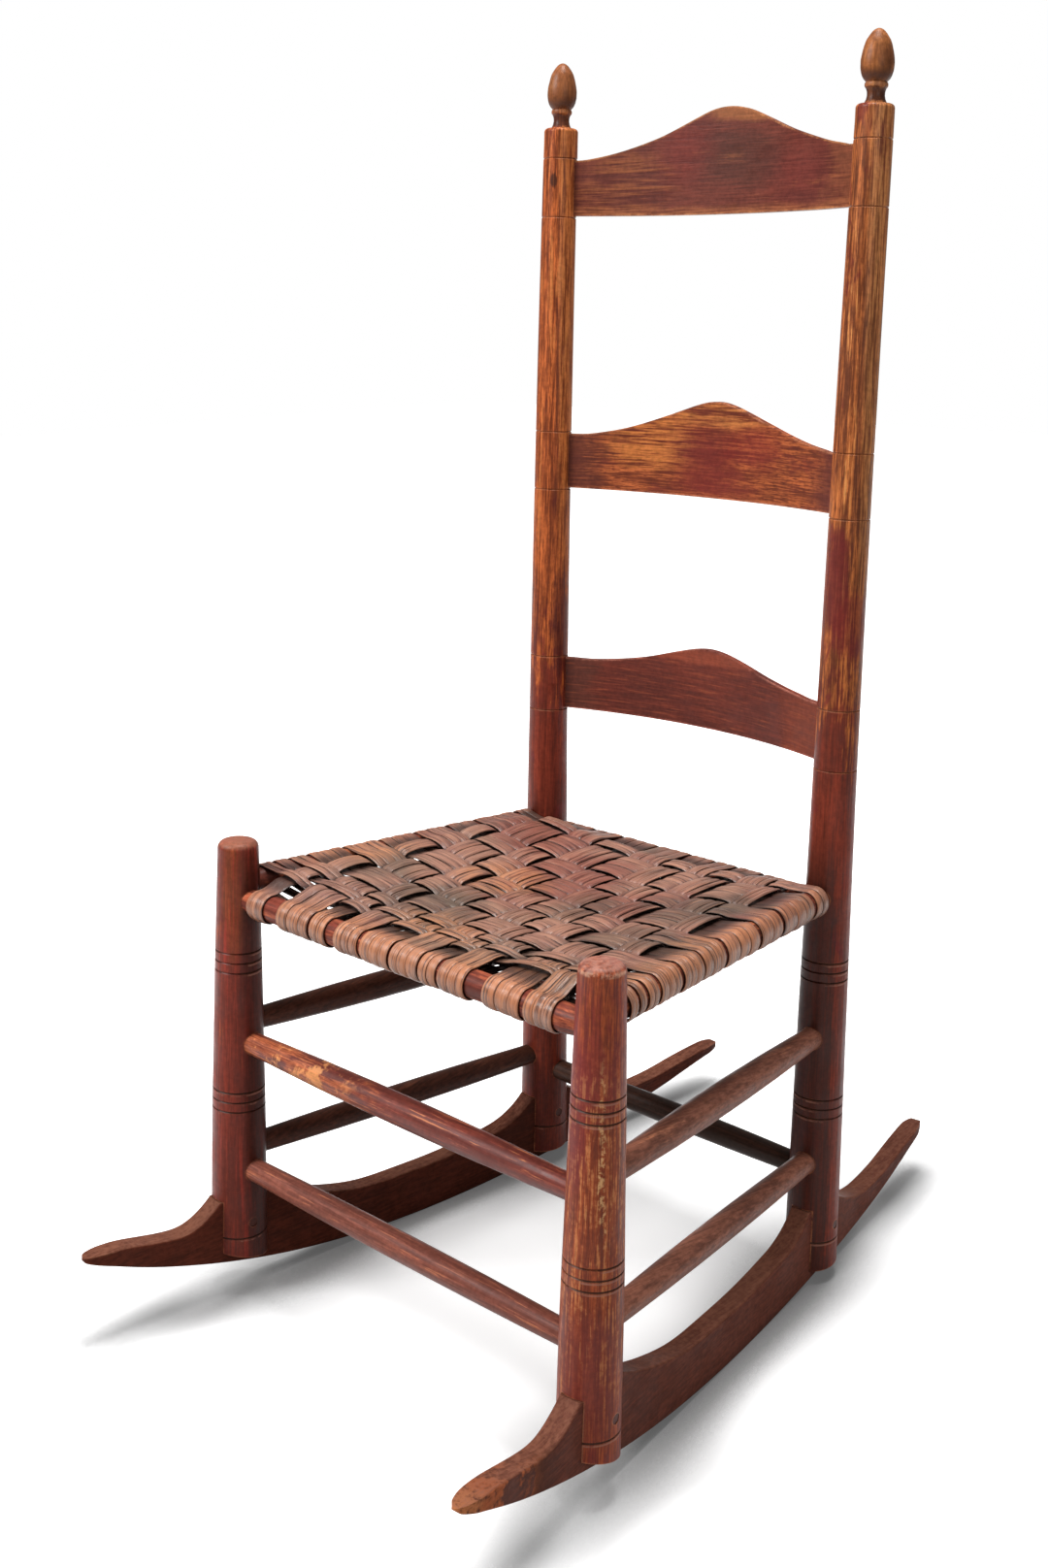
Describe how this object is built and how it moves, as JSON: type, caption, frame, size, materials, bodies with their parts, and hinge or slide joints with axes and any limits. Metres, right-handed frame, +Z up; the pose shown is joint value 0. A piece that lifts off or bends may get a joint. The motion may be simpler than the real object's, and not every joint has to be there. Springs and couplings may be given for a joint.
{
  "type": "rocking chair",
  "caption": "Ladder-back rocking chair with turned posts, acorn finials, bowed shaped slats, pegged board rockers, swelled rungs and a woven bark-splint seat.",
  "frame": {"origin": "centre of the bounding box, on the floor", "axes": "+Z up, the chair faces -Y, +X to the right of someone who faces the chair"},
  "size_m": [0.459, 0.7542, 1.0713],
  "materials": {
    "front_post_wood": "worn dark red-brown paint",
    "back_post_wood": "worn paint over golden brown wood",
    "slat_wood": "worn paint over golden brown wood",
    "rung_wood": "worn dark brown, rubbed smooth",
    "rocker_wood": "worn dark paint, dusty on top",
    "splint_bark": "aged hickory bark splint, satin"
  },
  "bodies": {
    "root": {"front_post_left": "front_post_wood", "front_post_right": "front_post_wood", "back_post_left": "back_post_wood", "back_post_right": "back_post_wood", "top_slat": "slat_wood", "middle_slat": "slat_wood", "bottom_slat": "slat_wood", "front_rung_upper": "rung_wood", "front_rung_lower": "rung_wood", "back_rung": "rung_wood", "side_rung_upper_left": "rung_wood", "side_rung_upper_right": "rung_wood", "side_rung_lower_left": "rung_wood", "side_rung_lower_right": "rung_wood", "seat_rail_front": "rung_wood", "seat_rail_back": "rung_wood", "seat_rail_left": "rung_wood", "seat_rail_right": "rung_wood", "rocker_left": "rocker_wood", "rocker_right": "rocker_wood", "front_peg_left": "rung_wood", "front_peg_right": "rung_wood", "back_peg_left": "rung_wood", "back_peg_right": "rung_wood", "warp_splint_01": "splint_bark", "warp_splint_02": "splint_bark", "warp_splint_03": "splint_bark", "warp_splint_04": "splint_bark", "warp_splint_05": "splint_bark", "warp_splint_06": "splint_bark", "warp_splint_07": "splint_bark", "warp_splint_08": "splint_bark", "warp_splint_09": "splint_bark", "warp_splint_10": "splint_bark", "weft_splint_01": "splint_bark", "weft_splint_02": "splint_bark", "weft_splint_03": "splint_bark", "weft_splint_04": "splint_bark", "weft_splint_05": "splint_bark", "weft_splint_06": "splint_bark", "weft_splint_07": "splint_bark", "weft_splint_08": "splint_bark", "weft_splint_09": "splint_bark", "weft_splint_10": "splint_bark"}
  },
  "joints": []
}
